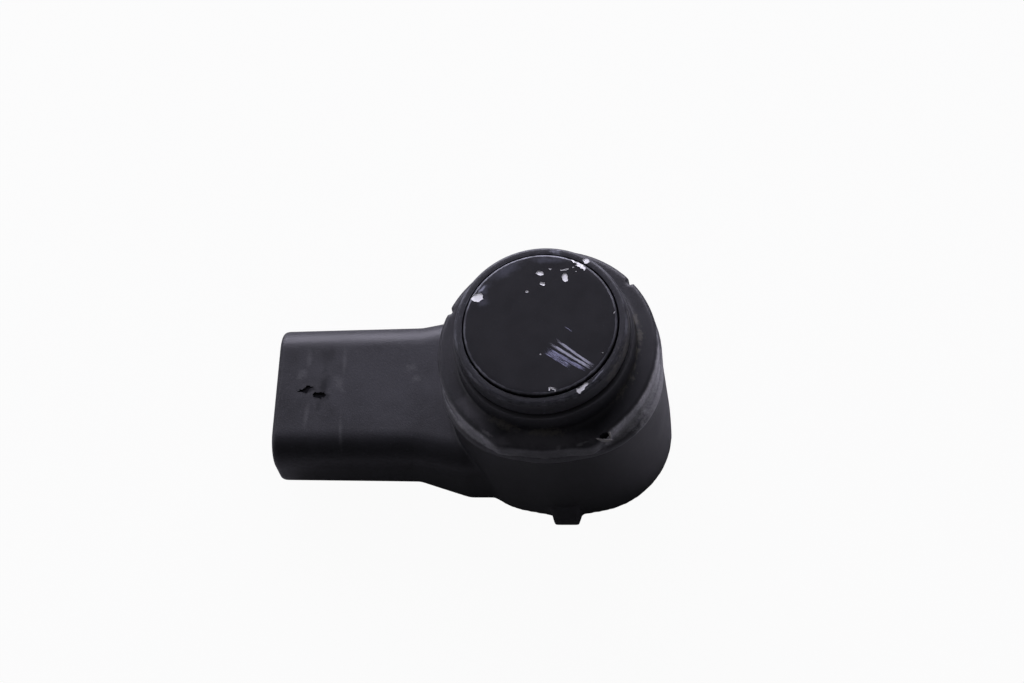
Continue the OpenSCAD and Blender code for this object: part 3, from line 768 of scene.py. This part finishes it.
# Pale lines along the ring's outer and inner top edges: partly rub wear, partly painted highlight on the rounded
# edges.
top_edge = patch(tree, spot, (0, 0, ring_top + 0.05), (60, 60, 0.50), 0, 0.5, 0.2, 1500.0)
outer_edge_rub_and_highlight = times(tree, wear_and_sheen_rim_line(tree, spot, ring_r - 0.16, 0.16, 0.6, 1700.0, 0.34), top_edge)
tone = over(tree, tone, (0.20, 0.205, 0.23), outer_edge_rub_and_highlight, 0.70)
inner_edge_rub_and_highlight = wear_and_sheen_rim_line(tree, spot, 7.95, 0.07, 0.5, 2200.0, 0.42)
tone = over(tree, tone, (0.18, 0.185, 0.21), inner_edge_rub_and_highlight, 0.60)
powder = patches(
    tree, spot,
    ((1.2, 8.15, ring_top), (0.85, 0.30, 1), -5, 0.9, 0.8, 2400.0),
    ((6.0, -5.55, ring_top), (1.15, 0.10, 1), 52, 0.7, 0.8, 2400.0))
tone = over(tree, tone, (0.30, 0.31, 0.37), powder, 0.55)
mud = patches(
    tree, spot,
    ((8.7, 1.6, 4.0), (0.6, 3.0, 1.4), 8, 0.9, 0.9, 1800.0),
    ((8.4, -2.4, 4.2), (0.7, 1.8, 1.5), -16, 0.9, 1.0, 2000.0),
    ((7.5, -4.6, 4.2), (0.7, 1.6, 1.5), -31, 0.9, 1.0, 2000.0))
tone = over(tree, tone, (0.115, 0.108, 0.090), mud, 0.55)
tree.links.new(tone, shader.inputs["Base Color"])
tree.links.new(bent(tree, 0.40, 0.58, grain["Mottle"]), shader.inputs["Roughness"])
shader.inputs["Specular IOR Level"].default_value = 0.36
raise_up(tree, shader, grain["Height"], 0.2, 0.03)

groove_r, groove_top, groove_foot = cup_lip + seat_gap, cup_step + seat_gap, cup_foot - seat_gap
ring_profile = (
    [(cup_in, sleeve_foot), (sleeve_r, sleeve_foot), (sleeve_r, head_top)]
    + corner(ring_r - ring_foot_edge, head_top + ring_foot_edge, ring_foot_edge, -90, 0, 4)
    + corner(ring_r - ring_edge, ring_top - ring_edge, ring_edge, 0, 90)
    + corner(sleeve_in + slit_w + slit_edge, ring_top - slit_edge, slit_edge, 90, 180, 3)
    + [(sleeve_in, ring_top - slit_depth), (sleeve_in, groove_top), (groove_r, groove_top), (groove_r, groove_foot),
       (cup_in, groove_foot)])
ring = link_piece("silicone_ring", turned_mesh("silicone_ring", ring_profile), silicone, white_primer)
ring_surface = rounded_rim(ring_r, ring_top, ring_edge)
front_flake = [(3.86, -7.10), (4.22, -7.56), (5.16, -6.42), (4.84, -6.26)]
flakes = bmesh.new()
sunk_cutter(flakes, outline((4.27, 7.12), 0.80, 0.58, turn=-32, seed=21.3), ring_surface, flake_t)
sunk_cutter(flakes, ragged_sides(front_flake, 0.22, 22.7), ring_surface, flake_t)
knock(ring, flakes)
crisp(ring.data)
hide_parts("decoupling_ring")
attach(ring, "root")

# Retaining ring, terminal carrier and transformer base: small mouldings of one black nylon.
# The first is pressed in behind the silicone ring, and the others hold blades and drum in place.
# They are closed in, so they kept the clean grain of the mould.
inner_plastic = plain_finish(
    "inner_plastic", (0.018, 0.018, 0.019), (0.034, 0.034, 0.036), (0.42, 0.58), 5000.0, 500.0)
for node in ("retaining_ring", "transformer_base", "terminal_carrier"):
    dress(node, inner_plastic)

# Terminals: three tinned brass blades, bent square and pushed through the socket's floor.
# They are stamped from strip, so their edges are broken and fine draw lines run along them.
tinned, tree, shader = finish_tree("tinned")
spot = wire(tree, "ShaderNodeTexCoord").outputs["Object"]
lines = wire(tree, "ShaderNodeMapping", {"Vector": spot, "Scale": (400, 9000, 9000)})
drawn = cloud(tree, lines.outputs[0], 1.0, 3.0)
tree.links.new(over(tree, (0.50, 0.48, 0.44), (0.70, 0.68, 0.64), drawn), shader.inputs["Base Color"])
tree.links.new(bent(tree, 0.22, 0.42, drawn), shader.inputs["Roughness"])
shader.inputs["Metallic"].default_value = 1.0
raise_up(tree, shader, drawn, 0.15, 0.02)
for side in ("left", "middle", "right"):
    blade = link_piece("blade_" + side, solid_copy("terminal_" + side, "blade_" + side), tinned)
    rounding = blade.modifiers.new("broken_edges", "BEVEL")
    rounding.width = 0.07 * mm
    rounding.segments = 2
    applied(blade)
    crisp(blade.data)
    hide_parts("terminal_" + side)
    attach(blade, "root")

# Circuit board: a round of glass-fibre laminate under green solder mask.
# It rests on a step in the housing, and the weave of the glass shows faintly through the mask.
board, tree, shader = finish_tree("board")
spot = wire(tree, "ShaderNodeTexCoord").outputs["Object"]
threads = {"Vector": spot, "Scale": 700.0, "Distortion": 0.4}
weave = largest(tree, [
    wire(tree, "ShaderNodeTexWave", threads, bands_direction=way).outputs["Fac"] for way in ("X", "Y")])
tree.links.new(over(tree, (0.018, 0.125, 0.050), (0.034, 0.185, 0.080), weave), shader.inputs["Base Color"])
shader.inputs["Roughness"].default_value = 0.35
raise_up(tree, shader, weave, 0.12, 0.02)
dress("circuit_board", board)

# Control chip and resistors: black moulded packages with a fine matt skin.
# They are soldered to the board's rear, the chip at one side and the four resistors in a row.
chip = plain_finish("chip", (0.012, 0.012, 0.012), (0.026, 0.026, 0.026), (0.50, 0.65), 9000.0, 1200.0)
dress("control_chip", chip)
dress("resistors", chip)

# Transformer: a pressed and fired ferrite drum whose waist is wound with enamelled copper wire.
# It steps up the drive pulse for the ceramic and stands on its moulded base.
dress("transformer_drum", plain_finish(
    "ferrite", (0.045, 0.041, 0.041), (0.075, 0.070, 0.069), (0.50, 0.70), 9000.0, 900.0))
copper, tree, shader = finish_tree("copper")
spot = wire(tree, "ShaderNodeTexCoord").outputs["Object"]
turns = wire(tree, "ShaderNodeTexWave", {"Vector": spot, "Scale": 1600.0, "Distortion": 0.2}, bands_direction="Z")
tree.links.new(over(tree, (0.36, 0.12, 0.04), (0.66, 0.27, 0.10), turns.outputs["Fac"]), shader.inputs["Base Color"])
shader.inputs["Metallic"].default_value = 1.0
shader.inputs["Roughness"].default_value = 0.32
raise_up(tree, shader, turns.outputs["Fac"], 0.8, 0.04)
dress("transformer_winding", copper)

# Capacitors: a yellow moulded tantalum block that steadies the supply, and a brown ceramic chip
# that tunes the transformer to the cup. Both are soldered to the board's rear.
dress("supply_capacitor", plain_finish(
    "tantalum", (0.50, 0.28, 0.04), (0.66, 0.42, 0.08), (0.40, 0.55), 7000.0, 900.0))
dress("tuning_capacitor", plain_finish(
    "capacitor_ceramic", (0.33, 0.22, 0.13), (0.45, 0.33, 0.22), (0.40, 0.55), 8000.0, 900.0))

# Potting: black resin poured in behind the board to keep water and shaking from the electronics.
# It set level, with the gloss of a cast surface.
dress("potting", plain_finish(
    "resin", (0.010, 0.010, 0.011), (0.019, 0.019, 0.020), (0.14, 0.26), 1500.0, 300.0, 0.5, 0.08))

# Rear cover: a flat black plate welded into the rear rebate once the resin has set.
# It keeps the gate dimple and the round marks of the pins that pushed it out of its mould.
cover_low, cover_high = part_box("rear_cover")
cover_about = ((cover_low.x + cover_high.x) / 2 / mm, (cover_low.y + cover_high.y) / 2 / mm)
cover_r = (cover_high.x - cover_low.x) / 2 / mm
cover_under, cover_over = cover_low.z / mm, cover_high.z / mm
cover_edge, groove_out, groove_in, groove_deep = 0.12, 0.70, 1.10, 0.12
cover_rings = (6.0, 3.0)
gate_dimple = [(1.10, 0), (0.95, 0.16), (0.30, 0.22), (0.25, 0.12), (0, 0.10)]
pin_marks, pin_ring_r, pin_r, pin_depth = 6, 6.4 * mm, 1.1 * mm, 0.16 * mm
cover_profile = (
    [(0, cover_over), (cover_r, cover_over)]
    + corner(cover_r - cover_edge, cover_under + cover_edge, cover_edge, 0, -90, 4)
    + [(cover_r - groove_out, cover_under), (cover_r - groove_out - groove_deep, cover_under + groove_deep),
       (cover_r - groove_in + groove_deep, cover_under + groove_deep), (cover_r - groove_in, cover_under)]
    + [(r, cover_under) for r in cover_rings]
    + [(r, cover_under + rise) for r, rise in gate_dimple])
cover = link_piece("rear_plate", turned_mesh("rear_plate", cover_profile, cover_about, 160), black_plastic)

pin_tree, given, put = open_group(
    "pin_marks",
    [("Ring radius", FLOAT, None), ("Mark radius", FLOAT, None), ("Depth", FLOAT, None),
     ("Marks", "NodeSocketInt", None), ("Finish", "NodeSocketMaterial", None)],
    [("Geometry", "NodeSocketGeometry")], "GeometryNodeTree")
circle = wire(pin_tree, "GeometryNodeMeshCircle", {"Vertices": given["Marks"], "Radius": given["Ring radius"]})
pin = wire(pin_tree, "GeometryNodeMeshCylinder", {
    "Vertices": 40, "Radius": given["Mark radius"], "Depth": given["Depth"]})
stamped = wire(pin_tree, "GeometryNodeInstanceOnPoints", {
    "Points": circle.outputs["Mesh"], "Instance": pin.outputs["Mesh"]})
whole = wire(pin_tree, "GeometryNodeRealizeInstances", {"Geometry": stamped.outputs["Instances"]})
dressed = wire(pin_tree, "GeometryNodeSetMaterial", {
    "Geometry": whole.outputs["Geometry"], "Material": given["Finish"]})
pin_tree.links.new(dressed.outputs["Geometry"], put["Geometry"])
pins = link_piece("pin_tools", bpy.data.meshes.new("pin_tools"))
marks = pins.modifiers.new("pin_marks", "NODES")
marks.node_group = pin_tree
for label, value in (("Ring radius", pin_ring_r), ("Mark radius", pin_r), ("Depth", pin_depth),
                     ("Marks", pin_marks), ("Finish", black_plastic)):
    marks[pin_tree.interface.items_tree[label].identifier] = value
applied(pins)
pins.data.transform(Matrix.Translation((cover_about[0] * mm, cover_about[1] * mm, cover_low.z)))
cut_away(cover, pins)
crisp(cover.data)
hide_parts("rear_cover")
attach(cover, "root")
